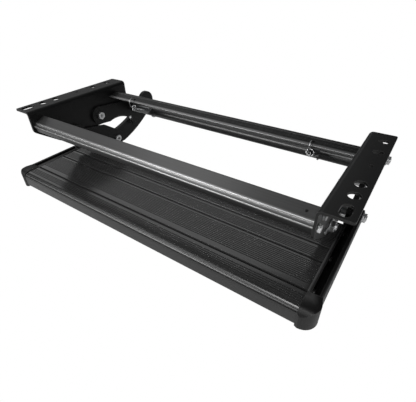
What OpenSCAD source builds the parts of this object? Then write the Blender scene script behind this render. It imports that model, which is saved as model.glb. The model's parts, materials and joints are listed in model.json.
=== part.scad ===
// Pull out step for a caravan or camper, shown retracted.
//
// Two bent side brackets hang under the vehicle floor and are tied together by
// a front and a rear rail. On each side a front arm and a rear arm carry the
// side arm of the tread. The four pivots of a side form a parallelogram, so
// the tread swings forward and down and stays level. Two springs pull the
// cross tube of the rear arms up again.
//
// X is across the step, Y runs from the door edge towards the middle of the
// vehicle, Z is up. Sizes are in millimetres. Everything is drawn from the
// front edge of the brackets at the level of the flange tops, and at_datum()
// moves it so that the origin is the centre of the round fixing holes.

/* [Side brackets] */
// Width over both flanges
overall_w = 550; // [450:1:700]
// Depth of a bracket from its front edge to its rear edge
bracket_depth = 213; // [210:1:215]
// Height of a bracket from the flange top to its lower edge
bracket_drop = 66.5; // [65:0.5:70]
// Height of the front edge, above the sloping corner
front_edge_h = 34.5; // [34.5:0.5:40]
// Length of the sloping corner along the step
slope_len = 43; // [30:0.5:44]
// Sheet thickness
sheet_t = 3; // [2.5:0.5:4]
// Flange reach from the upright plate's outer face to the flange edge
flange_reach = 32.5; // [30:0.5:40]
// Outer radius of the bend between flange and plate
bend_r = 6; // [5:0.5:10]
// Radius of the flange corners seen from above
flange_corner_r = 3; // [2:0.5:8]

/* [Flange holes] */
// Hole centre line to the flange's outer edge
hole_inset = 12.4; // [12:0.1:13]
// Long slot, distance from the front edge
long_slot_y = 14.6; // [14:0.1:17]
// Long slot, end to end, along the step
long_slot_len = 22; // [18:0.5:24]
// Long slot width
long_slot_w = 12; // [8:0.5:12]
// First round hole, distance from the front edge
round_hole_front_y = 43.3; // [42:0.1:48]
// Second round hole, distance from the front edge
round_hole_rear_y = 68.2; // [66:0.1:76]
// Round hole diameter
round_hole_d = 13.5; // [8:0.5:14]
// Small pilot hole, distance from the front edge
pilot_hole_y = 113.4; // [100:0.1:130]
// Small pilot hole diameter
pilot_hole_d = 5; // [3:0.5:6]
// First cross slot, distance from the front edge
cross_slot_front_y = 151.8; // [145:0.1:165]
// Second cross slot, distance from the front edge
cross_slot_rear_y = 186.7; // [180:0.1:196]
// Cross slot length across the step
cross_slot_len = 13; // [10:0.5:15]
// Cross slot width
cross_slot_w = 10; // [6.5:0.5:10]

/* [Linkage] */
// Front bracket pivot, distance from the front edge
front_pivot_y = 73.5; // [73:0.5:75]
// Front bracket pivot, depth below the flange top
front_pivot_drop = 68.3; // [67.5:0.1:69]
// Rear bracket pivot, distance behind the front one
pivot_span = 60.5; // [60:0.5:62]
// Rear bracket pivot, height above the front one
pivot_rise = 21.6; // [21:0.1:22]
// Reach of both arms from bracket pivot to tread pivot, along the step
arm_reach = 91.5; // [91:0.5:92.5]
// Drop of both arms from bracket pivot to tread pivot
arm_drop = 38.8; // [38.5:0.1:39.2]
// Swing of the arms from retracted to deployed, in degrees
swing = 63; // [50:1:63]
// Thickness of the arms
arm_t = 4.5; // [4:0.5:5]
// Radius of the arm ends round the tread pivot and the rear bracket pivot
arm_hub_r = 17; // [15:0.5:17]
// Radius of the notched disc round the front bracket pivot
notch_disc_r = 22; // [20:0.5:23]
// Radius of the bottom of the notch
notch_floor_r = 13; // [11:0.5:13.5]
// Radius of the rear arm's end on the tread side
pin_hub_r = 12; // [11:0.5:13]
// Cross tube diameter
tube_d = 19; // [16:0.5:19.5]
// Cross tube wall
tube_wall = 2; // [1.5:0.5:3]
// Cross tube centre, distance behind the rear bracket pivot
tube_back = 92; // [91:0.5:93]
// Cross tube centre, distance below the rear bracket pivot
tube_drop = 10.3; // [9.5:0.1:11]

/* [Rails] */
// Wall of the rail extrusions
rail_wall = 2.5; // [2:0.1:3]
// Depth of the front rail, front to back
front_rail_depth = 34; // [33:0.5:36]
// Height of the front rail
front_rail_h = 21.5; // [21:0.5:23]
// Depth of the front rail's top back corner below the flange top
front_rail_top = 12.5; // [12:0.5:13]
// Front lip of the rear rail, distance from the front edge
rear_rail_y = 168; // [167.5:0.5:168.5]
// Depth of the rear rail, front to back
rear_rail_depth = 24; // [23.5:0.5:27]
// Depth of the rear rail's top below the flange top
rear_rail_top = 14; // [13.5:0.5:14.5]

/* [Tread] */
// Depth of the top of the tread's side arms below the flange top
tread_drop = 99; // [98.5:0.5:100]
// Height of the side arms' channel
side_arm_h = 27; // [26.5:0.5:30]
// How far the tread stands forward of the brackets
tread_front = 37; // [36:0.5:40]
// Depth of the tread extrusion, front to back
tread_depth = 165; // [160:0.5:166]
// Thickness of the tread's deck
deck_t = 4; // [3.5:0.5:5]
// Wall of the tread extrusion
tread_wall = 2.5; // [2:0.1:3]
// Spacing of the fine ribs
rib_pitch = 3; // [2.5:0.1:5]
// Depth of the fine ribs
rib_depth = 1; // [0.6:0.1:1.4]
// Width of the open channel in each side arm
channel_w = 9.1; // [8:0.1:12]
// Wall of the side arm's channel
channel_wall = 4.2; // [3.6:0.1:5]
// Thickness of the curved tail
tail_t = 7.5; // [7:0.5:8]
// Radius of the tail's tip
tail_tip_r = 20; // [18:0.5:20.5]

/* [Fasteners] */
// Pivot bolt diameter
bolt_d = 8; // [6:1:8]
// Hexagon width across flats
hex_af = 13; // [12:0.5:14]
// Washer diameter
washer_d = 17; // [15:0.5:18]
// Washer thickness
washer_t = 1.6; // [1.2:0.1:2]
// Tread pin diameter
tread_pin_d = 10; // [8:1:12]
// Stop pin diameter
stop_pin_d = 6; // [5:0.5:7]
// Rubber sleeve diameter on the stop pin
stop_sleeve_d = 12; // [10:0.5:12]

/* [Springs] */
// Distance of each spring inwards from the bracket's plate
spring_inset = 63.5; // [40:0.5:90]
// Spring wire diameter
wire_d = 2; // [1.6:0.1:2]
// Outer diameter of the spring
spring_d = 13; // [11:0.5:13]
// Curls in each spring
spring_curls = 17; // [12:1:17]

/* [Hidden] */
$fn = 64;

// Clearances
running = 0.05;     // pin in the hole it turns in
fixed_fit = 0.02;   // pin in the hole it is held in
loose = 0.3;        // the one pivot of the loop that only follows
seat_gap = 0.3;     // round faces of different pieces that lie together

// Across the step, from the middle outwards, on the right side
plate_in = overall_w / 2 - flange_reach - sheet_t;
plate_out = plate_in + sheet_t;
bush_t = 0.8;
arm_out = plate_in - bush_t;
arm_in = arm_out - arm_t;
tail_gap = 4.5;     // from the plate's outer face to the tail, room for the nuts' washers
tail_in = plate_out + tail_gap;
tail_out = tail_in + tail_t;
channel_in = tail_out - channel_wall;
channel_out = tail_out + channel_w + channel_wall;
spring_x = plate_in - spring_inset;

// Points in the side view, as [distance from the front edge, height]
front_pivot = [front_pivot_y, -front_pivot_drop];
rear_pivot = front_pivot + [pivot_span, pivot_rise];
arm_vector = [arm_reach, -arm_drop];
front_tread_pivot = front_pivot + arm_vector;
rear_tread_pivot = rear_pivot + arm_vector;
tube_at = rear_pivot + [tube_back, -tube_drop];
tail_tip = rear_tread_pivot + [52, 26];
tail_bolt_at = tail_tip + [2.5, -8.5];

// The notch in the disc of the front arm lets the arm turn by the swing
// before either end of the notch meets the sleeve of the stop pin
stop_distance = 20.2;
stop_angle = 164.8;
stop_at = front_pivot + stop_distance * [cos(stop_angle), sin(stop_angle)];
stop_half_angle = asin((stop_sleeve_d / 2 + seat_gap) / stop_distance);

rear_rail_back = rear_rail_y + rear_rail_depth;
tread_top = -tread_drop - 1;
tread_bottom = -tread_drop - side_arm_h + 1.5;
tread_back = tread_depth - tread_front;

datum_y = (round_hole_front_y + round_hole_rear_y) / 2;
flange_hole_x = overall_w / 2 - hole_inset;

hex_h = 5;          // bolt head
nut_h = 5;          // nut of a bracket pivot
thin_nut_h = 4;     // nut of a side arm
thin_washer_t = 1.2;
thread_end = 2;     // bolt end standing out of a bracket pivot's nut
thin_thread_end = 0.8;
head_gap = 0.2;     // play under the round head of the side arm's bolt
round_head_h = 3.6;
round_head_r = 7;

black = "#1b1b1d";
dark_anodised = "#303134";
zinc = "#c4c6c8";
rubber_black = "#222222";

// Helpers

module at_datum() translate([0, -datum_y, 0]) children();

// Draws a side view outline between two distances across the step
module across(from_x, to_x)
    translate([from_x, 0, 0]) rotate([90, 0, 90]) linear_extrude(to_x - from_x) children();

// A round rod across the step at a point of the side view
module rod(at, from_x, to_x, r)
    translate([from_x, at.x, at.y]) rotate([0, 90, 0]) cylinder(h = to_x - from_x, r = r);

// A hexagon across the step, measured across its flats
module hexagon(at, from_x, to_x, af)
    translate([from_x, at.x, at.y]) rotate([0, 90, 0])
        cylinder(h = to_x - from_x, d = af / cos(30), $fn = 6);

module ring(at, from_x, to_x, r_out, r_in)
    difference() {
        rod(at, from_x, to_x, r_out);
        rod(at, from_x - 1, to_x + 1, r_in);
    }

module on_side(side)
    if (side > 0) children();
    else mirror([1, 0, 0]) children();

module on_both_sides() {
    on_side(1) children();
    on_side(-1) children();
}

function unit(v) = v / norm(v);

// Corner list with each corner turned into an arc of its own radius
function arc_corner(before, at, after, r, steps = 8) =
    let (
        u = unit(before - at),
        v = unit(after - at),
        half = acos(max(-1, min(1, u * v))) / 2,
        reach = min(r / tan(half), norm(before - at) * 0.499, norm(after - at) * 0.499),
        real_r = reach * tan(half),
        centre = at + unit(u + v) * real_r / sin(half),
        start = at + u * reach - centre,
        end = at + v * reach - centre,
        turn = atan2(start.x * end.y - start.y * end.x, start * end)
    )
    [for (i = [0:steps]) let (a = turn * i / steps)
        centre + [start.x * cos(a) - start.y * sin(a), start.x * sin(a) + start.y * cos(a)]];

function rounded(points, radii) =
    let (n = len(points))
    [for (i = [0:n - 1])
        each radii[i] <= 0
            ? [points[i]]
            : arc_corner(points[(i + n - 1) % n], points[i], points[(i + 1) % n], radii[i])];

// A straight bar with round ends between two points of the side view
module bar(a, ra, b, rb) {
    d = b - a;
    lean = asin((ra - rb) / norm(d));
    side_a = atan2(d.y, d.x) + 90 - lean;
    side_b = atan2(d.y, d.x) - 90 + lean;
    translate(a) circle(ra);
    translate(b) circle(rb);
    polygon([
        a + ra * [cos(side_a), sin(side_a)], b + rb * [cos(side_a), sin(side_a)],
        b + rb * [cos(side_b), sin(side_b)], a + ra * [cos(side_b), sin(side_b)]
    ]);
}

// Side brackets

stop_lug_r = 9;     // plate left round the stop pin
pivot_lug_r = 15;   // plate left round the front pivot, below the lower edge

module bracket_outline() {
    polygon(rounded(
        [[0, 5], [0, -front_edge_h], [slope_len, -bracket_drop],
            [bracket_depth, -bracket_drop], [bracket_depth, 5]],
        [0, 9, 14, 9, 0]));
    bar(stop_at, stop_lug_r, front_pivot, pivot_lug_r);
}

// The section is the plate, the quarter ring of the bend and the flange
module bent_sheet() {
    bend_at = [plate_in + bend_r, -bend_r];
    translate([plate_in, -bracket_drop - 40]) square([sheet_t, bracket_drop + 40 - bend_r]);
    translate([bend_at.x, -sheet_t]) square([overall_w / 2 - bend_at.x, sheet_t]);
    intersection() {
        translate(bend_at) difference() {
            circle(bend_r);
            circle(bend_r - sheet_t);
        }
        translate([plate_in, -bend_r]) square(bend_r);
    }
}

module slot_hole(at, len, d, along_y) {
    half = (len - d) / 2;
    step = along_y ? [0, half] : [half, 0];
    for (s = [-1, 1]) translate([at.x + s * step.x, at.y + s * step.y, -sheet_t - 1])
        cylinder(h = sheet_t + 2, d = d);
    box = along_y ? [d, 2 * half] : [2 * half, d];
    translate([at.x - box.x / 2, at.y - box.y / 2, -sheet_t - 1]) cube([box.x, box.y, sheet_t + 2]);
}

module flange_holes() {
    slot_hole([flange_hole_x, long_slot_y], long_slot_len, long_slot_w, true);
    for (y = [round_hole_front_y, round_hole_rear_y])
        translate([flange_hole_x, y, -sheet_t - 1]) cylinder(h = sheet_t + 2, d = round_hole_d);
    translate([flange_hole_x, pilot_hole_y, -sheet_t - 1]) cylinder(h = sheet_t + 2, d = pilot_hole_d);
    for (y = [cross_slot_front_y, cross_slot_rear_y])
        slot_hole([flange_hole_x, y], cross_slot_len, cross_slot_w, false);
}

module bracket()
    difference() {
        intersection() {
            translate([0, bracket_depth, 0]) rotate([90, 0, 0]) linear_extrude(bracket_depth) bent_sheet();
            across(plate_in - 1, overall_w / 2 + 1) bracket_outline();
            translate([0, 0, -bracket_drop - 40]) linear_extrude(bracket_drop + 41)
                polygon(rounded(
                    [[plate_in - 20, 0], [overall_w / 2, 0], [overall_w / 2, bracket_depth],
                        [plate_in - 20, bracket_depth]],
                    [0, flange_corner_r, flange_corner_r, 0]));
        }
        flange_holes();
        rod(front_pivot, plate_in - 1, plate_out + 1, bolt_d / 2 + fixed_fit);
        rod(rear_pivot, plate_in - 1, plate_out + 1, bolt_d / 2 + fixed_fit);
        rod(stop_at, plate_in - 1, plate_out + 1, stop_pin_d / 2 + fixed_fit);
        for (p = concat(front_rail_ports, rear_rail_ports))
            rod(p, plate_in - 1, plate_out + 1, rail_screw_d / 2 + running);
    }

module left_bracket() at_datum() color(black) on_side(-1) bracket();
module right_bracket() at_datum() color(black) on_side(1) bracket();

// Rails

rail_screw_d = 5;
rail_screw_len = 20;
port_wall = 2.2;
front_rail_ports = [[24, -front_rail_top - 8.5], [9.8, -front_rail_top - 14.7]];
front_port_r = [6, 5];
rear_rail_h = 14;
rear_rail_ports = [[rear_rail_back - 7.5, -rear_rail_top - 7.8]];
rear_port_r = 6;
lip_drop = 5.5;     // the rear rail's lip below the rail's top
lip_t = 1.7;
hook_hole_y = rear_rail_y + 8;
hook_hole_d = wire_d + 3;

// Outline drawn in by one wall thickness, for corners listed counterclockwise
function inward(a, b) = let (d = unit(b - a)) [-d.y, d.x];
function inset(points, wall) =
    let (n = len(points))
    [for (i = [0:n - 1])
        let (
            m = inward(points[(i + n - 1) % n], points[i]),
            k = inward(points[i], points[(i + 1) % n])
        )
        points[i] + (m + k) * wall / (1 + m * k)];

module screw_port(at, r_wall)
    translate(at) difference() {
        circle(r_wall);
        circle(rail_screw_d / 2 + fixed_fit);
    }

module front_rail_section() {
    top = -front_rail_top;
    bottom = top - front_rail_h;
    ridge_1 = [6.8, top - 7.7];
    ridge_2 = [3, top - 11.6];
    outline = [
        slope_top, ridge_1, [8, top - 9.6], ridge_2, [3.2, top - 15],
        [4.5, bottom], [front_rail_depth, bottom], [front_rail_depth, top - 6.5]
    ];
    shell = [slope_top, [8, top - 8.6], [4.6, top - 12], [5, bottom],
        [front_rail_depth, bottom], [front_rail_depth, top - 6.5]];
    difference() {
        polygon(rounded(outline, [2, 1, 0.6, 0.8, 1, 2, 2, 2]));
        polygon(inset(shell, rail_wall));
    }
    for (i = [0:1]) screw_port(front_rail_ports[i], front_port_r[i]);
}

// The sloping face runs from its top back edge down to the first ridge
slope_top = [25, -front_rail_top];
slope_angle = atan2(7.7, slope_top.x - 6.8);
drain_from_edge = 12.5;
drain_down = 9.6;
drain_d = 3.6;

module front_rail() at_datum() color(dark_anodised)
    difference() {
        across(-plate_in, plate_in) difference() {
            front_rail_section();
            for (p = front_rail_ports) translate(p) circle(rail_screw_d / 2 + fixed_fit);
        }
        // Small hole square to the sloping face, through its wall
        translate([plate_in - drain_from_edge, slope_top.x, slope_top.y]) rotate([slope_angle, 0, 0])
            translate([0, -drain_down, -rail_wall - 1]) cylinder(h = rail_wall + 4, d = drain_d);
    }

module rear_rail_section() {
    top = -rear_rail_top;
    bottom = top - rear_rail_h;
    y0 = rear_rail_y;
    y1 = rear_rail_back;
    outline = [[y0, top - lip_drop - lip_t], [y0 + 12, bottom], [y1, bottom],
        [y1, top - 1.5], [y1 - 5, top], [y0, top - lip_drop]];
    difference() {
        polygon(rounded(outline, [0.8, 3, 2, 1.5, 2, 0.8]));
        polygon(inset([[y0 + 11, bottom], [y1, bottom], [y1, top - 1.5], [y1 - 5, top],
            [y0 + 11, top - 2]], rail_wall));
        for (i = [0:4]) translate([y1 - 6.5 - 2.6 * i, top - 0.29 * (1.5 + 2.6 * i)])
            square([0.9, 1.4], center = true);
    }
    for (p = rear_rail_ports) screw_port(p, rear_port_r);
}

module rear_rail() at_datum() color(dark_anodised)
    difference() {
        across(-plate_in, plate_in) difference() {
            rear_rail_section();
            for (p = rear_rail_ports) translate(p) circle(rail_screw_d / 2 + fixed_fit);
        }
        for (s = [-1, 1]) translate([s * spring_x, hook_hole_y, -rear_rail_top - rear_rail_h - 1])
            cylinder(h = rear_rail_h + 2, d = hook_hole_d);
    }

// A button headed screw with its head at the outer end
module rail_screw(at) {
    rod(at, plate_in - rail_screw_len, plate_out, rail_screw_d / 2);
    hexagon(at, plate_out, plate_out + 3.6, 8);
    ring(at, plate_out, plate_out + 1, 5, rail_screw_d / 2 - 0.5);
}

module front_rail_screws() at_datum() color(zinc)
    on_both_sides() for (p = front_rail_ports) rail_screw(p);

module rear_rail_screws() at_datum() color(zinc)
    on_both_sides() for (p = rear_rail_ports) rail_screw(p);

// Bracket pivots and stops

head_dish = 1.5;    // hollow in the middle of a bolt head
head_dish_r = 3.4;

// Both bolts of a side have their heads inside, against the arms
module pivot_bolt(at) {
    rod(at, arm_in - 1, plate_out + washer_t + nut_h + thread_end, bolt_d / 2);
    difference() {
        hexagon(at, arm_in - hex_h, arm_in, hex_af);
        rod(at, arm_in - hex_h - 1, arm_in - hex_h + head_dish, head_dish_r);
    }
}

module front_pivot_bolts() at_datum() color(zinc) on_both_sides() pivot_bolt(front_pivot);
module rear_pivot_bolts() at_datum() color(zinc) on_both_sides() pivot_bolt(rear_pivot);

module hex_nut(at, from_x, h)
    difference() {
        hexagon(at, from_x, from_x + h, hex_af);
        rod(at, from_x - 1, from_x + h + 1, bolt_d / 2 + fixed_fit);
    }

module front_pivot_nuts() at_datum() color(zinc)
    on_both_sides() hex_nut(front_pivot, plate_out + washer_t, nut_h);

module rear_pivot_nuts() at_datum() color(zinc)
    on_both_sides() hex_nut(rear_pivot, plate_out + washer_t, nut_h);

module pivot_bushes() at_datum() color("#e8e4d8")
    on_both_sides() for (p = [front_pivot, rear_pivot])
        ring(p, arm_out, plate_in, washer_d / 2, bolt_d / 2 + fixed_fit);

module pivot_washers() at_datum() color(zinc)
    on_both_sides() for (p = [front_pivot, rear_pivot])
        ring(p, plate_out, plate_out + washer_t, washer_d / 2, bolt_d / 2 + fixed_fit);

module stop_pins() at_datum() color(zinc)
    on_both_sides() {
        rod(stop_at, arm_in - 1, plate_out + 1.5, stop_pin_d / 2);
        rod(stop_at, arm_in - 3, arm_in - 1, stop_pin_d / 2 + 2);
        rod(stop_at, plate_out, plate_out + 1.5, stop_pin_d / 2 + 1.5);
    }

module stop_sleeves() at_datum() color(rubber_black)
    on_both_sides() ring(stop_at, arm_in - 1, plate_in, stop_sleeve_d / 2, stop_pin_d / 2 + fixed_fit);

// Arms

knee_along = 62;    // the front arm's knee, measured along the arm from its bracket pivot
knee_across = 11;   // and square to it
knee_r = 14.5;
waist_r = 60;       // the hollow curve along the rear arm's lower edge
waist_depth = 72.5; // its centre, below the middle of the line from pivot to cross tube
square_to_tube = unit([tube_at.y - rear_pivot.y, rear_pivot.x - tube_at.x]) * -1;
tube_hub_r = 17;
tube_link_r = 10;   // from the cross tube down to the tread pin

module notch() {
    open_from = stop_angle - stop_half_angle;
    open_to = stop_angle + stop_half_angle + swing;
    reach = notch_disc_r * 2;
    difference() {
        polygon(concat([[0, 0]],
            [for (i = [0:4]) let (a = open_from + (open_to - open_from) * i / 4)
                reach * [cos(a), sin(a)]]));
        circle(notch_floor_r);
    }
}

module front_arm_outline() {
    along = arm_vector / norm(arm_vector);
    across_arm = [-along.y, along.x];
    knee = front_pivot + knee_along * along + knee_across * across_arm;
    difference() {
        union() {
            translate(front_pivot) circle(notch_disc_r);
            bar(front_pivot, notch_floor_r, knee, knee_r);
            bar(knee, knee_r, front_tread_pivot, arm_hub_r);
        }
        translate(front_pivot) notch();
        translate(front_pivot) circle(bolt_d / 2 + running);
        translate(front_tread_pivot) circle(bolt_d / 2 + loose);
    }
}

module left_front_arm() at_datum() color(black) on_side(-1) across(arm_in, arm_out) front_arm_outline();
module right_front_arm() at_datum() color(black) on_side(1) across(arm_in, arm_out) front_arm_outline();

module rear_arm_outline()
    difference() {
        union() {
            difference() {
                bar(rear_pivot, arm_hub_r, tube_at, tube_hub_r);
                translate((rear_pivot + tube_at) / 2 - waist_depth * square_to_tube) circle(waist_r);
            }
            bar(tube_at, tube_link_r, rear_tread_pivot, tube_link_r);
            translate(rear_tread_pivot) circle(pin_hub_r);
        }
        translate(rear_pivot) circle(bolt_d / 2 + running);
        translate(rear_tread_pivot) circle(tread_pin_d / 2 + fixed_fit);
    }

module left_rear_arm() at_datum() color(black) on_side(-1) across(arm_in, arm_out) rear_arm_outline();
module right_rear_arm() at_datum() color(black) on_side(1) across(arm_in, arm_out) rear_arm_outline();

module cross_tube() at_datum() color(dark_anodised)
    ring(tube_at, -arm_in, arm_in, tube_d / 2, tube_d / 2 - tube_wall);

module tread_pins() at_datum() color(black)
    on_both_sides() rod(rear_tread_pivot, arm_in, tail_out + 1.6, tread_pin_d / 2);

module pin_clips() at_datum() color(zinc)
    on_both_sides() ring(rear_tread_pivot, tail_out + seat_gap, tail_out + 1.5,
        tread_pin_d / 2 + 3, tread_pin_d / 2);

// Tread

tread_ports = [for (y = [0, 58, 112]) [y, tread_top - 8]];
wide_grooves = [-8, 42, 69];
rib_bands = [[-24.6, -13], [3, 37], [47, 64], [74, tread_back - 4]];
nose_r = 8.5;                     // rounding of the front edge
nose_grooves = [106, 129, 150];   // grooves round it, as angles from the back
nose_depth = 28;                  // the hollow box behind the front face
beam_depth = 28;                  // the hollow box at the back
beam_h = 22;
deck_webs = [20, 47, 76];
web_h = 18;

// A groove across the step, square to the surface at a point of the section
module groove(at, turn, w, depth)
    translate(at) rotate(turn) polygon([[-w / 2, 0.5], [-w / 2, 0], [-w / 4, -depth],
        [w / 4, -depth], [w / 2, 0], [w / 2, 0.5]]);

module tread_section() {
    nose_back = -tread_front + nose_depth;
    beam_front = tread_back - beam_depth;
    beam_bottom = tread_top - beam_h;
    deck_under = tread_top - deck_t;
    nose_centre = [-tread_front + nose_r, tread_top - nose_r];
    difference() {
        union() {
            polygon(rounded(
                [[-tread_front, tread_bottom], [nose_back, tread_bottom], [nose_back, tread_top],
                    [-tread_front, tread_top]],
                [3, 1, 0, nose_r]));
            translate([nose_back - 1, deck_under]) square([tread_back - nose_back - 1, deck_t]);
            polygon(rounded(
                [[beam_front, beam_bottom], [tread_back, beam_bottom], [tread_back, tread_top],
                    [beam_front, tread_top]],
                [1, 4, 3, 0]));
            for (y = deck_webs) translate([y - tread_wall / 2, tread_top - web_h])
                square([tread_wall, web_h - deck_t / 2]);
            for (p = tread_ports) translate(p) circle(rail_screw_d / 2 + port_wall);
        }
        difference() {
            union() {
                polygon(rounded(
                    [[-tread_front + tread_wall, tread_bottom + tread_wall],
                        [nose_back - tread_wall, tread_bottom + tread_wall],
                        [nose_back - tread_wall, deck_under], [-tread_front + tread_wall, deck_under]],
                    [1, 0, 0, nose_r - tread_wall]));
                translate([beam_front + tread_wall, beam_bottom + tread_wall])
                    square([beam_depth - 2 * tread_wall, beam_h - deck_t - tread_wall]);
            }
            for (p = tread_ports) translate(p) circle(rail_screw_d / 2 + port_wall);
        }
        for (p = tread_ports) translate(p) circle(rail_screw_d / 2 + fixed_fit);
        for (band = rib_bands) {
            count = floor((band[1] - band[0]) / rib_pitch);
            for (i = [0:count])
                groove([band[0] + i * rib_pitch, tread_top], 0, rib_pitch * 0.55, rib_depth);
        }
        for (a = nose_grooves)
            groove(nose_centre + nose_r * [cos(a), sin(a)], a - 90, 1.8, rib_depth);
        for (y = wide_grooves) groove([y, tread_top], 0, 4, 1.8);
    }
}

module tread_board() at_datum() color(dark_anodised)
    across(-channel_in, channel_in) tread_section();

// Side arms

channel_back = front_tread_pivot.x + 16.5;
channel_start = 8;      // the channel is solid from here to the nose
channel_floor_t = 3;
nose_reach = 1.5;       // the side arm's nose forward of the tread's front face
outer_at = front_tread_pivot + [-41, 228.5];
outer_r = 257;
inner_at = front_tread_pivot + [-24.9, 195.3];
inner_r = 185.8;

module channel_outline() {
    front = -tread_front - nose_reach;
    bottom = -tread_drop - side_arm_h;
    polygon(rounded(
        [[front, bottom], [channel_back, bottom], [channel_back, -tread_drop], [front, -tread_drop]],
        [12, side_arm_h / 2 - 0.1, side_arm_h / 2 - 0.1, 9]));
}

// The curved tail lies between two arcs, from the front tread pivot to the tip
module tail_outline() {
    from_a = atan2(front_tread_pivot.y - inner_at.y, front_tread_pivot.x - inner_at.x);
    to_a = atan2(tail_tip.y - inner_at.y, tail_tip.x - inner_at.x);
    intersection() {
        difference() {
            translate(outer_at) circle(outer_r, $fn = 180);
            translate(inner_at) circle(inner_r, $fn = 120);
        }
        polygon(concat([inner_at],
            [for (i = [0:6]) let (a = from_a + (to_a - from_a) * i / 6)
                inner_at + (outer_r + 60) * [cos(a), sin(a)]]));
    }
    translate(tail_tip) circle(tail_tip_r);
    translate(front_tread_pivot) circle(arm_hub_r);
}

module side_arm()
    difference() {
        union() {
            intersection() {
                across(channel_in, channel_out) channel_outline();
                translate([0, 0, -tread_drop - side_arm_h - 1]) linear_extrude(side_arm_h + 2)
                    polygon(rounded(
                        [[channel_in - 1, -tread_front - nose_reach],
                            [channel_out, -tread_front - nose_reach],
                            [channel_out, tread_depth + 100], [channel_in - 1, tread_depth + 100]],
                        [0, 13, 0, 0]));
            }
            across(tail_in, tail_out) tail_outline();
        }
        translate([tail_out, -channel_start, -tread_drop - side_arm_h + channel_floor_t])
            cube([channel_w, channel_start + channel_back - channel_wall, side_arm_h]);
        rod(front_tread_pivot, tail_in - 1, channel_out + 1, bolt_d / 2 + fixed_fit);
        rod(rear_tread_pivot, tail_in - 1, tail_out + 1, tread_pin_d / 2 + running);
        rod(tail_bolt_at, tail_in - 1, tail_out + 1, bolt_d / 2 + fixed_fit);
        for (p = tread_ports) rod(p, channel_in - 1, tail_out + 1, rail_screw_d / 2 + running);
    }

module left_side_arm() at_datum() color(black) on_side(-1) side_arm();
module right_side_arm() at_datum() color(black) on_side(1) side_arm();

module tread_screws() at_datum() color(black)
    on_both_sides() for (p = tread_ports) {
        rod(p, channel_in - tread_screw_len, tail_out, rail_screw_d / 2);
        rod(p, tail_out, tail_out + 2.8, rail_screw_d / 2 + 2.2);
    }

tread_screw_len = 16;
outer_bolt_end = channel_out + thin_washer_t + thin_nut_h + thin_thread_end;

module side_arm_bolts() at_datum() color(zinc)
    on_both_sides() {
        rod(front_tread_pivot, arm_in - head_gap, outer_bolt_end, bolt_d / 2);
        rod(front_tread_pivot, arm_in - head_gap - round_head_h, arm_in - head_gap, round_head_r);
    }

// Between the arms and the tails, where they pass under the brackets
module side_arm_spacers() at_datum() color(zinc)
    on_both_sides() {
        ring(front_tread_pivot, arm_out + head_gap, tail_in, washer_d / 2, bolt_d / 2 + fixed_fit);
        ring(rear_tread_pivot, arm_out + head_gap, tail_in, washer_d / 2, tread_pin_d / 2 + running);
    }

module side_arm_washers() at_datum() color(zinc)
    on_both_sides() for (p = [front_tread_pivot, tail_bolt_at])
        ring(p, channel_out, channel_out + thin_washer_t, washer_d / 2, bolt_d / 2 + fixed_fit);

module side_arm_nuts() at_datum() color(zinc)
    on_both_sides() for (p = [front_tread_pivot, tail_bolt_at])
        hex_nut(p, channel_out + thin_washer_t, thin_nut_h);

module tail_bolts() at_datum() color(zinc)
    on_both_sides() rod(tail_bolt_at, tail_in, outer_bolt_end, bolt_d / 2);

module tail_sleeves() at_datum() color(rubber_black)
    on_both_sides() ring(tail_bolt_at, tail_out, channel_out, tail_sleeve_r, bolt_d / 2 + fixed_fit);

tail_sleeve_r = 9;

// Springs

rings_per_curl = 8;
wire_sides = 6;
coil_start = [rear_rail_y + 2, -rear_rail_top - 18];
coil_to = 19;       // end of the coil, back along its axis from the tube centre
coil_from = norm(tube_at - coil_start);
spring_axis = unit(tube_at - coil_start);
spring_side = [-spring_axis.y, spring_axis.x];
hook_r = 7;
hook_centre = [hook_hole_y - hook_r, -rear_rail_top - 6.5];
eye_r = tube_d / 2 + wire_d / 2 + seat_gap;

function bezier(a, b, c, d, t) =
    a * pow(1 - t, 3) + 3 * b * pow(1 - t, 2) * t + 3 * c * (1 - t) * t * t + d * t * t * t;

function in_plane(p) = [0, p.x, p.y];

spring_path =
    let (
        coil_r = (spring_d - wire_d) / 2,
        steps = spring_curls * rings_per_curl,
        coil_end = tube_at - coil_to * spring_axis,
        hook_end = hook_centre + [-hook_r, 0],
        eye_a = 115,
        eye_start = tube_at + eye_r * [cos(eye_a), sin(eye_a)],
        eye_heading = [sin(eye_a), -cos(eye_a)]
    )
    concat(
        [in_plane([hook_hole_y, hook_centre.y - 4.5])],
        [for (i = [0:12]) in_plane(hook_centre + hook_r * [cos(15 * i), sin(15 * i)])],
        [for (i = [1:5]) in_plane(bezier(hook_end, hook_end - [0, 5],
            coil_start - 5 * spring_axis, coil_start, i / 6))],
        [for (i = [0:steps])
            let (
                turn = i / rings_per_curl,
                r = coil_r * min(1, turn / 0.75, (spring_curls - turn) / 0.75),
                s = (coil_from - coil_to) * i / steps,
                at = coil_start + s * spring_axis + r * cos(360 * turn) * spring_side
            )
            [r * sin(360 * turn), at.x, at.y]],
        [for (i = [1:4]) in_plane(bezier(coil_end, coil_end + 4 * spring_axis,
            eye_start - 4 * eye_heading, eye_start, i / 5))],
        [for (i = [0:20]) let (a = eye_a - 13 * i)
            in_plane(tube_at + eye_r * [cos(a), sin(a)])]
    );

function heading(path, i) =
    unit(path[min(i + 1, len(path) - 1)] - path[max(i - 1, 0)]);

function square_to(v, t) = unit(v - (v * t) * t);

// Each ring's first spoke is the one before it, turned square to the wire
function spokes(path) =
    [for (i = 0, s = square_to([1, 0, 0], heading(path, 0)); i < len(path);
        i = i + 1, s = i < len(path) ? square_to(s, heading(path, i)) : s) s];

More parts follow.
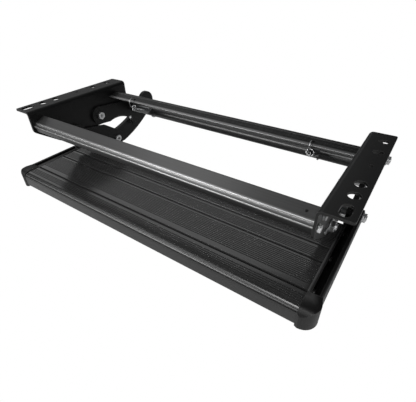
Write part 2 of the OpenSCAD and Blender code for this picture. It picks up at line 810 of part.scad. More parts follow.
module wire(path, d) {
    n = len(path);
    spoke = spokes(path);
    points = [for (i = [0:n - 1])
        let (t = heading(path, i), a = spoke[i], b = cross(t, a))
        for (j = [0:wire_sides - 1])
            path[i] + d / 2 * (cos(360 * j / wire_sides) * a + sin(360 * j / wire_sides) * b)];
    sides = [for (i = [0:n - 2], j = [0:wire_sides - 1])
        let (k = (j + 1) % wire_sides, p = i * wire_sides, q = p + wire_sides)
        each [[p + j, q + j, q + k], [p + j, q + k, p + k]]];
    start_cap = [for (j = [1:wire_sides - 2]) [0, j, j + 1]];
    last = (n - 1) * wire_sides;
    end_cap = [for (j = [1:wire_sides - 2]) [last, last + j + 1, last + j]];
    polyhedron(points, concat(sides, start_cap, end_cap), convexity = 10);
}

// Least gap between two stretches of the wire that are over half a curl apart
function least_gap(path, d) =
    min([for (i = [0:len(path) - 1], j = [i + 5:1:len(path) - 1]) norm(path[i] - path[j])]) - d;

echo(spring_gap_mm = least_gap(spring_path, wire_d));

module spring() translate([spring_x, 0, 0]) wire(spring_path, wire_d);

module left_spring() at_datum() color(zinc) on_side(-1) spring();
module right_spring() at_datum() color(zinc) on_side(1) spring();

left_bracket();
right_bracket();
front_rail();
rear_rail();
front_rail_screws();
rear_rail_screws();
front_pivot_bolts();
front_pivot_nuts();
rear_pivot_bolts();
rear_pivot_nuts();
pivot_bushes();
pivot_washers();
stop_pins();
stop_sleeves();
left_front_arm();
right_front_arm();
left_rear_arm();
right_rear_arm();
cross_tube();
tread_pins();
pin_clips();
tread_board();
left_side_arm();
right_side_arm();
tread_screws();
side_arm_bolts();
side_arm_spacers();
side_arm_washers();
side_arm_nuts();
tail_bolts();
tail_sleeves();
left_spring();
right_spring();
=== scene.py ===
"""Pull out step for a caravan, drawn back under its frame.

Finishes, small details, light and camera.
"""
import json
import math

import bmesh
import bpy
from mathutils import Matrix, Vector

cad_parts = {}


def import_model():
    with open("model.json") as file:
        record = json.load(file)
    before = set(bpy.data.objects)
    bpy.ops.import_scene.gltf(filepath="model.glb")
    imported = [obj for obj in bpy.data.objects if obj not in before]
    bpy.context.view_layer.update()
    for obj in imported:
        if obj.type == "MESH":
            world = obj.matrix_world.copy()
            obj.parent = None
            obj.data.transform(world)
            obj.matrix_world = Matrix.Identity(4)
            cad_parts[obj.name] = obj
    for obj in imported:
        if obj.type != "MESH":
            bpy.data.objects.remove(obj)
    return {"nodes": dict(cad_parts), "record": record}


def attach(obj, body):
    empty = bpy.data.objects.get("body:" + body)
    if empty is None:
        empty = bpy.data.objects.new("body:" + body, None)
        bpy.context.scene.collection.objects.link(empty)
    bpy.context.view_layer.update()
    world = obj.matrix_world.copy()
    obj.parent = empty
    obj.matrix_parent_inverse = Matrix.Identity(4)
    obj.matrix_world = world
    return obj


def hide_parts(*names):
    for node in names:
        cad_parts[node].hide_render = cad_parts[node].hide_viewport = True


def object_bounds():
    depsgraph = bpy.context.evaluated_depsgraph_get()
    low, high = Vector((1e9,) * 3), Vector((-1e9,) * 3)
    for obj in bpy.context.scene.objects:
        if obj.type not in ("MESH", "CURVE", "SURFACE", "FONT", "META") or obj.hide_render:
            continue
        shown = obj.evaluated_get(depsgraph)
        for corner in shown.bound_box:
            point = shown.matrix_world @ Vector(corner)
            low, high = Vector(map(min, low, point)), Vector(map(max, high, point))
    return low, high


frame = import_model()
cad_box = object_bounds()
nodes = frame["nodes"]

MM = 0.001

# Camera, as fitted to the photograph of 416 by 402 pixels, with its angles in degrees
CAMERA_AT = (0.2933, -0.30585, 0.1833)
CAMERA_YAW = 35.279
CAMERA_PITCH = 35.786
CAMERA_ROLL = 1.420
LENS_MM = 27.781
SENSOR_MM = 36.0
NEAREST = 0.01                # in metres from the camera

# Soft boxes: name, place, point aimed at, width and height in metres, power in watts
SOFT_BOXES = [
    # Overhead, for the slopes of the rails
    ("overhead_box", (-0.75, 0.0, 1.25), (0, 0.05, -0.05), (0.9, 0.7), 2.0),
    # In front, for the ridges of the front rail
    ("ridge_box", (-0.62, -1.0, 0.66), (0, -0.05, -0.03), (0.9, 0.5), 17),
    # Behind, for the sheen of the tread
    ("rear_panel", (-1.25, 1.05, 1.0), (-0.45, -0.1, -0.1), (2.9, 1.15), 5.4),
    # Over the camera, for the noses of the side arms
    ("brow_box", (0.2, -0.6, 1.2), (0.25, -0.1, -0.1), (0.5, 0.5), 6),
    # On the right, for the bolts
    ("right_box", (1.3, -0.5, 0.5), (0.1, 0, -0.05), (0.35, 0.5), 6),
]
WHITE = (1, 1, 1, 1)
BLACK = (0, 0, 0, 1)
AIR_COLOUR = (0.94, 0.97, 1.0, 1)
AIR_STRENGTH = 0.055
FLOOR_COLOUR = (0.8, 0.8, 0.8, 1)
FLOOR_HALF = 6.0
FLOOR_CLEARANCE = 0.08    # below the step, so that the tread swings clear of it

# Places on the step
DATUM_Y = -55.75 * MM     # the brackets' front edge
TREAD_TOP = -100 * MM


def across_at(y, z):
    """A line across the step, in mm behind the brackets' front edge and over the flange tops."""
    return (DATUM_Y + y * MM, z * MM)


A_PIVOT = across_at(73.5, -68.3)      # front arm on the bracket
B_PIVOT = across_at(134.0, -46.7)     # rear arm on the bracket
C_PIVOT = across_at(165.0, -107.1)    # front arm on the side arm
TAIL_BOLT = across_at(280.0, -68.0)
TUBE_AXIS = across_at(226.0, -57.0)
WIDE_GROOVES = [across_at(y, -100) for y in (-8, 42, 69)]
# Middle of the painted shade on the tread's fascia
FASCIA_MIDDLE = across_at(-38.5, -114)
# Lines of the painted highlights on the tread's nose
NOSE_RIDGES = [across_at(-32.4, -100.9), across_at(-34.9, -102.9)]

# Side arms and their noses
ARM_IN = 250.3 * MM
ARM_OUT = 267.8 * MM
ARM_TOP = -99 * MM
ARM_BOTTOM = -126 * MM
NOSE_BACK = DATUM_Y - 8.1 * MM
NOSE_FRONT = DATUM_Y - 38.5 * MM
NOSE_CORNER_R = 17 * MM       # outer corner seen from above
NOSE_SWELL = 2.8 * MM         # how far the nose stands out from the flank
NOSE_BROW_R = 10 * MM         # top front corner seen from the side
NOSE_BULGE = 0.5 * MM         # the corners of the front lie this far behind its middle
INNER_CUT = (2.2 * MM, 1.6 * MM)
CORNER_STEPS = 14
FLANK_STEPS = 8
BROW_STEPS = 10
STEP_ASIDE = 0.1 * MM         # keeps the rounding off the joint behind the nose
SOLE_SPARE = 0.05 * MM        # the arm is trimmed this far below the nose

# Rounding of the edges, and the angles in degrees from which an edge counts as sharp
PLATE_EDGE_R = 0.6 * MM
SIDE_ARM_EDGE_R = 0.8 * MM
NOSE_EDGE_R = 0.9 * MM
RAIL_EDGE_R = 0.3 * MM
TREAD_EDGE_R = 0.2 * MM
FASTENER_EDGE_R = 0.35 * MM
SHARP = 30
SIDE_ARM_SHARP = 35
NOSE_SHARP = 24

# Threads on the bolt ends, as distances from the middle of the step
PIVOT_THREAD = (249.1 * MM, 251.05 * MM)
PIVOT_PITCH = 1.25 * MM
SIDE_THREAD = (273.0 * MM, 273.75 * MM)
SIDE_PITCH = 0.6 * MM
THREAD_CORE_R = 3.95 * MM
THREAD_CREST_R = 4.2 * MM
THREAD_SIDES = 24

# Weld beads round the ends of the cross tube
BEAD_OUTER_X = 234.2 * MM     # at the face of the rear arm
BEAD_HALF_W = 1.3 * MM
BEAD_H = 1.5 * MM
BEAD_ROOT_R = 9.4 * MM
TUBE_R = 9.5 * MM
BEAD_STEPS = 8
BEAD_SIDES = 72
RIPPLES = 22
RIPPLE_H = 0.18 * MM

# Mesh repair: points closer than this are one, faces that turn less are flat
SAME_POINT = 0.002 * MM
FLAT_ANGLE = 0.4
ON_PLANE = 0.0001 * MM
AT_TOP = 0.001 * MM

# Shades and colours of the finishes
COAT_DEEP = 0.0030
COAT_DUSTY = 0.0070
# Lighter edges of the coat: rubbed wear and also a painted highlight
COAT_RUBBED_AND_HIGHLIT = 0.060
ANODISED_DEEP = 0.085
ANODISED_PALE = 0.150
# Painted shade for the rails below a level
ANODISED_IN_SHADE = 0.008
TREAD_DEEP = 0.100
TREAD_PALE = 0.145
TREAD_WORN = 0.22
# Painted shade in the tread's hollows
TREAD_HOLLOW_PAINTED_SHADE = 0.010
# Painted shade on the tread's fascia
FASCIA_PAINTED_SHADE = 0.052
# Painted highlight on the ridges of the tread's nose
NOSE_RIDGE_PAINTED_HIGHLIGHT = 0.13
ZINC_DULL = (0.60, 0.61, 0.63)
ZINC_BRIGHT = (0.78, 0.78, 0.77)
SOCKET_SHADE = 0.03
RUBBER_DEEP = 0.010
RUBBER_PALE = 0.022
NYLON_DARK = (0.62, 0.60, 0.54, 1)
NYLON_LIGHT = (0.72, 0.70, 0.64, 1)
ANODISED_METALLIC = 0.85
DIE_LINES = (2, 900, 900)     # cells to the metre, drawn out across the step

# Where a finish changes: full up to the first measure, gone from the second on
# The band of the coat's lighter edges, wear and painted highlight both
RUB_AND_HIGHLIGHT_REACH = 0.9 * MM                          # from an edge
# Where a rail's painted shade begins
SHADE_LINE = (-0.75 * MM, 0.75 * MM)          # over the level where a rail goes dark
HOLLOW_LEVEL = (-0.533 * MM, -0.05 * MM)      # over the tops of the ribs
GROOVE_REACH = (2.25 * MM, 2.45 * MM)         # from the middle of a wide groove
NOSE_RIDGE_REACH = (0.273 * MM, 0.909 * MM)
FASCIA_REACH = (12.4 * MM, 14.4 * MM)
BOLT_HEAD_X = (230.5 * MM, 231.5 * MM)        # the heads' faces lie further in
SOCKET_REACH = (2.2 * MM, 3.3 * MM)

# Painted lines on the rails, bright ones as painted highlights on the ridges and dark ones as
# painted shade in the grooves: line, width and shade
FRONT_RAIL_PAINTED_LINES = [
    (across_at(6.7, -20.4), 3.6 * MM, 0.42),
    (across_at(3.3, -24.2), 1.3 * MM, 0.34),
    (across_at(25.8, -12.6), 1.6 * MM, 0.006),
]
REAR_RAIL_PAINTED_LINES = [
    (across_at(169.6, -18.9), 3.4 * MM, 0.28),
    (across_at(180.0, -15.2), 1.2 * MM, 0.012),
    (across_at(184.0, -14.4), 1.6 * MM, 0.12),
]

PLATES = ("left_bracket", "right_bracket", "left_front_arm", "right_front_arm",
          "left_rear_arm", "right_rear_arm")
FASTENERS = ("front_pivot_bolts", "rear_pivot_bolts", "front_pivot_nuts", "rear_pivot_nuts",
             "side_arm_bolts", "side_arm_nuts", "tail_bolts", "pivot_washers",
             "side_arm_washers", "tail_sleeves", "stop_sleeves", "front_rail_screws",
             "rear_rail_screws", "tread_screws")


# Shader wiring

class Value:
    """A number that varies over a surface. Sums on it add Math nodes."""

    def __init__(self, wiring, socket):
        self.wiring = wiring
        self.socket = socket

    def math(self, operation, a, b):
        """The outcome of a Math node."""
        node = self.wiring.node("ShaderNodeMath", {0: a, 1: b}, operation=operation)
        return Value(self.wiring, node.outputs[0])

    def __add__(self, other):
        return self.math("ADD", self, other)

    def __sub__(self, other):
        return self.math("SUBTRACT", self, other)

    def __rsub__(self, other):
        return self.math("SUBTRACT", other, self)

    def __mul__(self, other):
        return self.math("MULTIPLY", self, other)

    def __pow__(self, other):
        return self.math("POWER", self, other)

    __radd__ = __add__


class Wiring:
    """The nodes of a material or of the world."""

    def __init__(self, tree):
        self.tree = tree

    def node(self, kind, sockets=None, **settings):
        """Any node: its type, the values or links of its sockets, and its settings."""
        node = self.tree.nodes.new(kind)
        for key, setting in settings.items():
            setattr(node, key, setting)
        for key, source in (sockets or {}).items():
            self.feed(node.inputs[key], source)
        return node

    def feed(self, socket, source):
        """Links a socket to its source, or sets it to a plain number or colour."""
        if isinstance(source, Value):
            source = source.socket
        if isinstance(source, bpy.types.NodeSocket):
            self.tree.links.new(source, socket)
        else:
            socket.default_value = source


class Finish(Wiring):
    """A material being wired up."""

    def __init__(self, name):
        self.material = bpy.data.materials.new(name)
        self.material.use_nodes = True
        super().__init__(self.material.node_tree)
        self.surface = self.tree.nodes["Principled BSDF"]

    def position(self):
        """Position on the object in metres."""
        return self.node("ShaderNodeTexCoord").outputs["Object"]

    def coordinate(self, axis):
        """One coordinate of the position: 0 across, 1 along, 2 up."""
        return Value(self, self.node("ShaderNodeSeparateXYZ", {0: self.position()}).outputs[axis])

    def height_above(self, level):
        """Height over a level in metres."""
        return self.coordinate(2) - level

    def distance_to(self, line):
        """Distance in metres to a line across the step."""
        off_y = self.coordinate(1) - line[0]
        off_z = self.coordinate(2) - line[1]
        return (off_y * off_y + off_z * off_z) ** 0.5

    def distance_across(self):
        """Distance in metres from the middle of the step, across it."""
        x = self.coordinate(0)
        return (x * x) ** 0.5

    def noise(self, per_metre, detail, roughness=0.5):
        """A cloudy pattern with so many cells to the metre along x, y and z."""
        stretched = self.node("ShaderNodeMapping",
                              {"Vector": self.position(), "Scale": per_metre}).outputs[0]
        node = self.node("ShaderNodeTexNoise",
                         {"Vector": stretched, "Scale": 1.0, "Detail": detail,
                          "Roughness": roughness},
                         noise_dimensions="3D")
        return Value(self, node.outputs[0])

    def fade(self, value, full, none):
        """One where the value is at full or past it, nothing from none on, a slope between."""
        node = self.node("ShaderNodeValToRGB", {0: (value - full) * (1 / (none - full))})
        start, end = node.color_ramp.elements
        start.color = WHITE
        end.color = BLACK
        return Value(self, node.outputs[0])

    def edges(self, reach):
        """One along the edges of a piece, nothing on its flat faces."""
        rounded = self.node("ShaderNodeBevel", {"Radius": reach}, samples=6).outputs[0]
        flat = self.node("ShaderNodeNewGeometry").outputs["True Normal"]
        along = self.node("ShaderNodeVectorMath", {0: rounded, 1: flat}, operation="DOT_PRODUCT")
        return self.fade(1.0 - Value(self, along.outputs["Value"]), 0.22, 0.03)

    def mix(self, mask, a, b):
        """Colour a where the mask is nothing, colour b where it is one."""
        return self.node("ShaderNodeMix", {0: mask, 6: a, 7: b}, data_type="RGBA").outputs[2]

    def bump(self, height, distance, strength):
        """The surface normal over fine relief."""
        return self.node("ShaderNodeBump", {"Height": height, "Distance": distance,
                                            "Strength": strength}).outputs[0]

    def set(self, **sockets):
        """Feeds the surface, by socket names with _ for a blank, and gives the material."""
        for name, source in sockets.items():
            self.feed(self.surface.inputs[name.replace("_", " ")], source)
        return self.material


def grey(shade):
    """A neutral colour."""
    return (shade, shade, shade, 1)


def powder_coat():
    """Satin black powder coat with a fine orange peel, faint dust, and edges lighter from rubbing
    and from a painted highlight.
    """
    finish = Finish("black_powder_coat")
    peel = finish.noise((700, 700, 700), 3)
    cloud = finish.noise((9, 9, 9), 4)
    speck = finish.fade(finish.noise((1500, 1500, 1500), 1), 0.72, 0.66)
    # Edges painted lighter: rubbed wear, and also a painted highlight
    rub_and_highlight = finish.edges(RUB_AND_HIGHLIGHT_REACH) * (cloud * 0.8 + 0.35)
    shade = finish.mix(speck * 0.5 + cloud * 0.3, grey(COAT_DEEP), grey(COAT_DUSTY))
    return finish.set(
        Base_Color=finish.mix(rub_and_highlight, shade, grey(COAT_RUBBED_AND_HIGHLIT)),
        Roughness=cloud * 0.12 + peel * 0.08 + 0.32,
        Normal=finish.bump(peel, 0.05 * MM, 0.5),
        IOR=1.37)


def anodised(name, light, ridges=(), dark_below=None):
    """Black anodised extrusion with die lines along it, across the step.

    Bright lines on its ridges are painted highlights and dark lines on its grooves are painted
    shade. Below a level it gets painted shade.
    """
    finish = Finish(name)
    die_lines = finish.noise(DIE_LINES, 3, 0.6)
    cloud = finish.noise((4, 12, 12), 3)
    shade = finish.mix(die_lines * 0.7 + cloud * 0.3,
                       grey(ANODISED_DEEP * light), grey(ANODISED_PALE * light))
    # Painted highlights along the ridges, painted shade along the grooves
    for line, width, tone in ridges:
        band = finish.fade(finish.distance_to(line), 0.25 * width, width)
        shade = finish.mix(band, shade, grey(tone))
    # Painted shade below the level
    if dark_below is not None:
        low = finish.fade(finish.height_above(dark_below), *SHADE_LINE)
        shade = finish.mix(low * 0.85, shade, grey(ANODISED_IN_SHADE))
    return finish.set(
        Base_Color=shade,
        Metallic=ANODISED_METALLIC,
        Roughness=die_lines * 0.10 + cloud * 0.08 + 0.24,
        Normal=finish.bump(die_lines, 0.02 * MM, 0.25))


def tread_anodised():
    """The tread's extrusion: painted shade in its rougher hollows between the ribs, worn rib
    tops, painted highlights along the ridges of its nose and painted shade on its rougher fascia.
    """
    finish = Finish("tread_anodised")
    die_lines = finish.noise(DIE_LINES, 3, 0.6)
    cloud = finish.noise((6, 14, 14), 3)
    hollow = finish.fade(finish.height_above(TREAD_TOP), *HOLLOW_LEVEL)
    wide = sum(finish.fade(finish.distance_to(line), *GROOVE_REACH) for line in WIDE_GROOVES)
    # dull paints shade into the hollows, most in the wide grooves
    dull = hollow * (0.42 + wide * 0.55)
    # Painted highlights along the ridges of the nose
    ridge = sum(finish.fade(finish.distance_to(line), *NOSE_RIDGE_REACH) for line in NOSE_RIDGES)
    # Painted shade on the fascia
    fascia = finish.fade(finish.distance_to(FASCIA_MIDDLE), *FASCIA_REACH)
    scuff = finish.fade(finish.noise((22, 160, 160), 4), 0.72, 0.52)
    worn = scuff * 0.25 * (1.0 - hollow)
    shade = finish.mix(die_lines * 0.5 + cloud * 0.5, grey(TREAD_DEEP), grey(TREAD_PALE))
    shade = finish.mix(worn, shade, grey(TREAD_WORN))
    shade = finish.mix(dull, shade, grey(TREAD_HOLLOW_PAINTED_SHADE))
    shade = finish.mix(fascia, shade, grey(FASCIA_PAINTED_SHADE))
    shade = finish.mix(ridge * 0.7, shade, grey(NOSE_RIDGE_PAINTED_HIGHLIGHT))
    brushed = die_lines * 0.05 + cloud * 0.05 + worn * 0.2
    return finish.set(
        Base_Color=shade,
        Metallic=ANODISED_METALLIC,
        Roughness=brushed + dull * 0.3 + fascia * 0.14 + 0.13,
        Normal=finish.bump(die_lines, 0.02 * MM, 0.12))


def zinc(name, light=1.0, sockets=()):
    """Zinc plating with faint clouding. The sockets in the bolt heads are in shade."""
    finish = Finish(name)
    cloud = finish.noise((260, 260, 260), 3)
    scratch = finish.noise((2400, 500, 900), 2)
    dull, bright = ((*[part * light for part in colour], 1)
                    for colour in (ZINC_DULL, ZINC_BRIGHT))
    shade = finish.mix(cloud, dull, bright)
    inside = finish.fade(finish.distance_across(), *BOLT_HEAD_X)
    for line in sockets:
        socket = finish.fade(finish.distance_to(line), *SOCKET_REACH)
        shade = finish.mix(socket * inside * 0.92, shade, grey(SOCKET_SHADE))
    return finish.set(
        Base_Color=shade,
        Metallic=1.0,
        Roughness=cloud * 0.16 + scratch * 0.08 + 0.20,
        Normal=finish.bump(scratch, 0.03 * MM, 0.4))


def rubber():
    """Matt black rubber."""
    finish = Finish("matt_rubber")
    grain = finish.noise((1200, 1200, 1200), 2)
    return finish.set(
        Base_Color=finish.mix(grain, grey(RUBBER_DEEP), grey(RUBBER_PALE)),
        Roughness=grain * 0.1 + 0.68,
        Normal=finish.bump(grain, 0.06 * MM, 0.6))


def nylon():
    """Natural nylon bush."""
    finish = Finish("natural_nylon")
    cloud = finish.noise((400, 400, 400), 2)
    return finish.set(
        Base_Color=finish.mix(cloud, NYLON_DARK, NYLON_LIGHT),
        Roughness=cloud * 0.1 + 0.42)


COAT = powder_coat()
ZINC = zinc("bright_zinc")
BOLT_ZINC = zinc("bolt_zinc", sockets=[A_PIVOT, B_PIVOT, C_PIVOT])

FINISH_OF_SLOT = {
    "black_paint": COAT,
    "zinc_steel": ZINC,
    # The springs' zinc is darkened as painted shade
    "spring_wire": zinc("spring_zinc", 0.55),
    "rubber": rubber(),
    "nylon": nylon(),
}
# Nodes that look unlike the rest of their slot
FINISH_OF_NODE = {
    "tread_board": tread_anodised(),
    "front_rail": anodised("front_rail_anodised", 1.0, FRONT_RAIL_PAINTED_LINES, -25.6 * MM),
    # The rear rail is the front rail's anodising darkened as painted shade
    "rear_rail": anodised("rear_rail_anodised", 0.42, REAR_RAIL_PAINTED_LINES, -20.6 * MM),
    "cross_tube": anodised("cross_tube_coat", 0.55),
    "front_pivot_bolts": BOLT_ZINC,
    "rear_pivot_bolts": BOLT_ZINC,
    "side_arm_bolts": BOLT_ZINC,
}

slot_of = {part["node"]: part["material_slot"] for part in frame["record"]["subparts"]}
body_of = {name: body for body, names in frame["record"]["behaviour"]["bodies"].items()
           for name in names}


def finish_of(node):
    """The finish of a node: its own, or that of its slot."""
    return FINISH_OF_NODE.get(node) or FINISH_OF_SLOT[slot_of[node]]


def repaint_nodes():
    """Gives every CAD mesh its finish."""
    for name, thing in nodes.items():
        thing.data.materials.clear()
        thing.data.materials.append(finish_of(name))


# Pieces

def new_piece(name, shape, body, finish):
    """Turns a bmesh into a piece of the step that rides on a body."""
    mesh = bpy.data.meshes.new(name)
    shape.to_mesh(mesh)
    shape.free()
    mesh.materials.append(finish)
    piece = bpy.data.objects.new(name, mesh)
    bpy.context.scene.collection.objects.link(piece)
    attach(piece, body)
    return piece


def joined_copy(node):
    """The CAD mesh of a node with its loose triangles joined at their corners."""
    shape = bmesh.new()
    shape.from_mesh(nodes[node].data)
    bmesh.ops.remove_doubles(shape, verts=shape.verts, dist=SAME_POINT)
    return shape


def whole_faced_copy(node):
    """The CAD mesh of a node with its triangles joined into whole faces."""
    shape = joined_copy(node)
    bmesh.ops.dissolve_limit(shape, angle_limit=math.radians(FLAT_ANGLE), verts=shape.verts,
                             edges=shape.edges, delimit={"NORMAL"})
    return shape


def sharp_edges(shape, angle, suits=lambda vert: True):
    """Edges that turn by more than an angle in degrees and whose ends both suit."""
    return [e for e in shape.edges
            if len(e.link_faces) == 2 and e.calc_face_angle(0) > math.radians(angle)
            and all(suits(v) for v in e.verts)]


def round_edges(shape, edges, width, segments):
    """Rounds edges over a width to each side."""
    bmesh.ops.bevel(shape, geom=edges, offset=width, affect="EDGES", segments=segments,
                    profile=0.5, material=-1, clamp_overlap=True, offset_type="OFFSET")


def stand_in(node, shape):
    """Makes a shape the visible piece of a node."""
    for face in shape.faces:
        face.smooth = True
    piece = new_piece(node + "_finished", shape, body_of[node], finish_of(node))
    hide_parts(node)
    return piece


def settle_shading(piece):
    """Lets the large faces rule the shading, so that only the rounded edges look round."""
    piece.modifiers.new("even_shading", "WEIGHTED_NORMAL").weight = 100


def softened(node, width, segments=2):
    """A node with its sharp edges rounded."""
    shape = whole_faced_copy(node)
    round_edges(shape, sharp_edges(shape, SHARP), width, segments)
    settle_shading(stand_in(node, shape))


def cut_away(shape, at, outward):
    """Takes away what lies beyond a plane and closes the cut."""
    everything = shape.verts[:] + shape.edges[:] + shape.faces[:]
    cut = bmesh.ops.bisect_plane(shape, geom=everything, dist=ON_PLANE, plane_co=at,
                                 plane_no=outward, clear_outer=True)["geom_cut"]
    edges = [e for e in cut if isinstance(e, bmesh.types.BMEdge) and e.is_boundary]
    bmesh.ops.holes_fill(shape, edges=edges)


def nose_outline():
    """The nose from above: a slightly bulging front, a round outer corner, a swelling flank."""
    outline = [(ARM_IN, NOSE_BACK), (ARM_IN, NOSE_FRONT + INNER_CUT[1]),
               (ARM_IN + INNER_CUT[0], NOSE_FRONT + NOSE_BULGE)]
    centre = (ARM_OUT + NOSE_SWELL - NOSE_CORNER_R, NOSE_FRONT + NOSE_CORNER_R)
    for k in range(CORNER_STEPS + 1):
        turn = math.radians(-90 + 90 * k / CORNER_STEPS)
        outline.append((centre[0] + NOSE_CORNER_R * math.cos(turn),
                        centre[1] + NOSE_CORNER_R * math.sin(turn)))
    length = NOSE_BACK - centre[1]
    for k in range(1, FLANK_STEPS + 1):
        fall = 0.5 + 0.5 * math.cos(math.pi * k / FLANK_STEPS)
        outline.append((ARM_OUT + NOSE_SWELL * fall, centre[1] + length * k / FLANK_STEPS))
    return outline


def add_nose(shape, side):
    """Builds the nose of a side arm and gives its corner points."""
    corners = []
    for x, y in nose_outline():
        corners += bmesh.ops.create_vert(shape, co=(side * x, y, ARM_BOTTOM))["vert"]
    sole = bmesh.ops.contextual_create(shape, geom=corners)["faces"]
    grown = bmesh.ops.extrude_face_region(shape, geom=sole)["geom"]
    top = [v for v in grown if isinstance(v, bmesh.types.BMVert)]
    bmesh.ops.translate(shape, verts=top, vec=(0, 0, ARM_TOP - ARM_BOTTOM))
    nose = corners + top
    for k in range(1, BROW_STEPS + 1):
        y = NOSE_FRONT + NOSE_BROW_R * (1 - math.cos(math.radians(90 * k / BROW_STEPS)))
        faces = list({f for v in nose for f in v.link_faces})
        edges = list({e for v in nose for e in v.link_edges})
        cut = bmesh.ops.bisect_plane(shape, geom=nose + edges + faces, dist=ON_PLANE,
                                     plane_co=(0, y, 0), plane_no=(0, 1, 0))["geom_cut"]
        nose += [v for v in cut if isinstance(v, bmesh.types.BMVert)]
    brow_back = NOSE_FRONT + NOSE_BROW_R
    for v in set(nose):
        if v.co.z > ARM_TOP - AT_TOP and v.co.y < brow_back:
            ahead = brow_back - v.co.y
            v.co.z -= NOSE_BROW_R - math.sqrt(max(0.0, NOSE_BROW_R ** 2 - ahead ** 2))
    faces = list({f for v in nose for f in v.link_faces})
    bmesh.ops.recalc_face_normals(shape, faces=faces)
    return set(nose)


def side_arm(node, side):
    """A side arm with its full nose, level below."""
    shape = whole_faced_copy(node)
    cut_away(shape, (0, 0, ARM_BOTTOM - SOLE_SPARE), (0, 0, -1))
    cut_away(shape, (0, NOSE_BACK, 0), (0, -1, 0))
    behind = sharp_edges(shape, SIDE_ARM_SHARP, lambda v: v.co.y > NOSE_BACK + STEP_ASIDE)
    round_edges(shape, behind, SIDE_ARM_EDGE_R, 2)
    nose = add_nose(shape, side)
    creases = sharp_edges(shape, NOSE_SHARP,
                          lambda v: v in nose and v.co.y < NOSE_BACK - STEP_ASIDE)
    round_edges(shape, creases, NOSE_EDGE_R, 3)
    settle_shading(stand_in(node, shape))


def smooth_wire(node):
    """A spring, shaded as round wire."""
    stand_in(node, joined_copy(node))


# Turned details

def turned(shape, at, stations, side, sides):
    """Adds a skin turned about a line across the step, given as distances across and radii."""
    first = bmesh.ops.create_circle(shape, cap_ends=False, segments=sides,
                                    radius=stations[0][1],
                                    matrix=Matrix.Rotation(math.radians(90), 4, "Y"))["verts"]
    bmesh.ops.translate(shape, verts=first, vec=(side * stations[0][0], at[0], at[1]))
    ring = list({e for v in first for e in v.link_edges})
    for (last_x, last_r), (x, r) in zip(stations, stations[1:]):
        grown = bmesh.ops.extrude_edge_only(shape, edges=ring)["geom"]
        verts = [v for v in grown if isinstance(v, bmesh.types.BMVert)]
        ring = [e for e in grown if isinstance(e, bmesh.types.BMEdge)
                and all(v in verts for v in e.verts)]
        middle = Matrix.Translation((-side * last_x, -at[0], -at[1]))
        bmesh.ops.scale(shape, vec=(1, r / last_r, r / last_r), verts=verts, space=middle)
        bmesh.ops.translate(shape, verts=verts, vec=(side * (x - last_x), 0, 0))
    return ring


def thread_turns(name, body, lines, span, pitch):
    """The thread on the bolt ends that stand out of their nuts."""
    shape = bmesh.new()
    for side in (-1, 1):
        for line in lines:
            stations = [(span[0], THREAD_CREST_R)]
            while stations[-1][0] + pitch / 2 < span[1]:
                x, r = stations[-1]
                next_r = THREAD_CORE_R if r == THREAD_CREST_R else THREAD_CREST_R
                stations.append((x + pitch / 2, next_r))
            end = turned(shape, line, stations, side, THREAD_SIDES)
            bmesh.ops.contextual_create(shape, geom=end)
    bmesh.ops.recalc_face_normals(shape, faces=shape.faces)
    new_piece(name, shape, body, ZINC)


def tube_welds():
    """The weld beads that hold the cross tube to the rear arms."""
    shape = bmesh.new()
    stations = []
    for k in range(BEAD_STEPS + 1):
        turn = math.pi * k / BEAD_STEPS
        stations.append((BEAD_OUTER_X - BEAD_HALF_W - BEAD_HALF_W * math.cos(turn),
                         BEAD_ROOT_R + BEAD_H * math.sin(turn)))
    for side in (-1, 1):
        turned(shape, TUBE_AXIS, stations, side, BEAD_SIDES)
    for v in shape.verts:
        off = Vector((0, v.co.y - TUBE_AXIS[0], v.co.z - TUBE_AXIS[1]))
        ripple = math.sin(math.atan2(off.z, off.y) * RIPPLES)
        swell = max(0.0, off.length - TUBE_R) / BEAD_H
        v.co += off.normalized() * ripple * swell * RIPPLE_H
    bmesh.ops.recalc_face_normals(shape, faces=shape.faces)
    for face in shape.faces:
        face.smooth = True
    new_piece("tube_welds", shape, "rear_arms", COAT)


# Light and backdrop

def soft_box(name, at, aim, size, power):
    """An area light turned towards a point."""
    lamp = bpy.data.lights.new(name, "AREA")
    lamp.shape = "RECTANGLE"
    lamp.size, lamp.size_y = size
    lamp.energy = power
    thing = bpy.data.objects.new(name, lamp)
    thing.location = at
    thing.rotation_euler = (Vector(aim) - Vector(at)).to_track_quat("-Z", "Y").to_euler()
    bpy.context.scene.collection.objects.link(thing)


def world():
    """Dim air round the step. The camera sees it as white."""
    studio_air = bpy.data.worlds.new("studio_air")
    studio_air.use_nodes = True
    wiring = Wiring(studio_air.node_tree)
    wiring.tree.nodes.clear()
    seen = wiring.node("ShaderNodeLightPath").outputs["Is Camera Ray"]
    air = wiring.node("ShaderNodeBackground", {0: AIR_COLOUR, 1: AIR_STRENGTH}).outputs[0]
    white = wiring.node("ShaderNodeBackground", {0: WHITE, 1: 1.0}).outputs[0]
    mixed = wiring.node("ShaderNodeMixShader", {0: seen, 1: air, 2: white}).outputs[0]
    wiring.node("ShaderNodeOutputWorld", {0: mixed})
    bpy.context.scene.world = studio_air


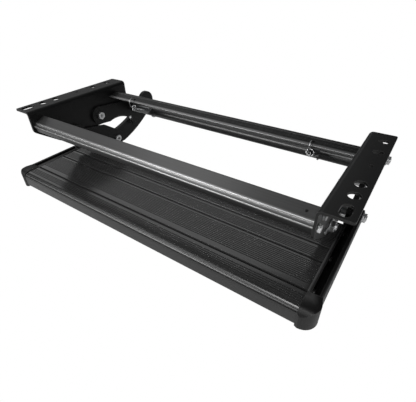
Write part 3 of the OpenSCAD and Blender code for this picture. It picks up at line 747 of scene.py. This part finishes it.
def floor():
    """A pale floor that shows white and keeps a faint shadow."""
    finish = Finish("white_floor")
    finish.set(Base_Color=FLOOR_COLOUR, Roughness=0.9)
    seen = finish.node("ShaderNodeLightPath").outputs["Is Camera Ray"]
    glow = finish.node("ShaderNodeEmission", {"Color": WHITE, "Strength": 1.0}).outputs[0]
    mixed = finish.node("ShaderNodeMixShader",
                        {0: seen, 1: finish.surface.outputs[0], 2: glow}).outputs[0]
    finish.feed(finish.tree.nodes["Material Output"].inputs["Surface"], mixed)
    shape = bmesh.new()
    low = cad_box[0][2] - FLOOR_CLEARANCE
    bmesh.ops.create_grid(shape, x_segments=1, y_segments=1, size=FLOOR_HALF,
                          matrix=Matrix.Translation((0, 0, low)))
    mesh = bpy.data.meshes.new("floor")
    shape.to_mesh(mesh)
    shape.free()
    mesh.materials.append(finish.material)
    plane = bpy.data.objects.new("floor", mesh)
    bpy.context.scene.collection.objects.link(plane)


def camera():
    """The camera, where it stood for the photograph."""
    lens = bpy.data.cameras.new("camera")
    lens.lens = LENS_MM
    lens.sensor_width = SENSOR_MM
    lens.sensor_fit = "HORIZONTAL"
    lens.clip_start = NEAREST
    thing = bpy.data.objects.new("camera", lens)
    turn = (Matrix.Rotation(math.radians(CAMERA_YAW), 4, "Z")
            @ Matrix.Rotation(math.radians(90 - CAMERA_PITCH), 4, "X")
            @ Matrix.Rotation(math.radians(-CAMERA_ROLL), 4, "Z"))
    thing.matrix_world = Matrix.Translation(CAMERA_AT) @ turn
    bpy.context.scene.collection.objects.link(thing)
    bpy.context.scene.camera = thing


repaint_nodes()
for name in PLATES:
    softened(name, PLATE_EDGE_R)
side_arm("left_side_arm", -1)
side_arm("right_side_arm", 1)
for name in ("front_rail", "rear_rail"):
    softened(name, RAIL_EDGE_R)
softened("tread_board", TREAD_EDGE_R, 1)
for name in FASTENERS:
    softened(name, FASTENER_EDGE_R)
for name in ("left_spring", "right_spring"):
    smooth_wire(name)
thread_turns("pivot_threads", "frame", [A_PIVOT, B_PIVOT], PIVOT_THREAD, PIVOT_PITCH)
thread_turns("side_arm_threads", "tread", [C_PIVOT, TAIL_BOLT], SIDE_THREAD, SIDE_PITCH)
tube_welds()
camera()
for box in SOFT_BOXES:
    soft_box(*box)
world()
floor()
bpy.context.scene.view_settings.view_transform = "Standard"
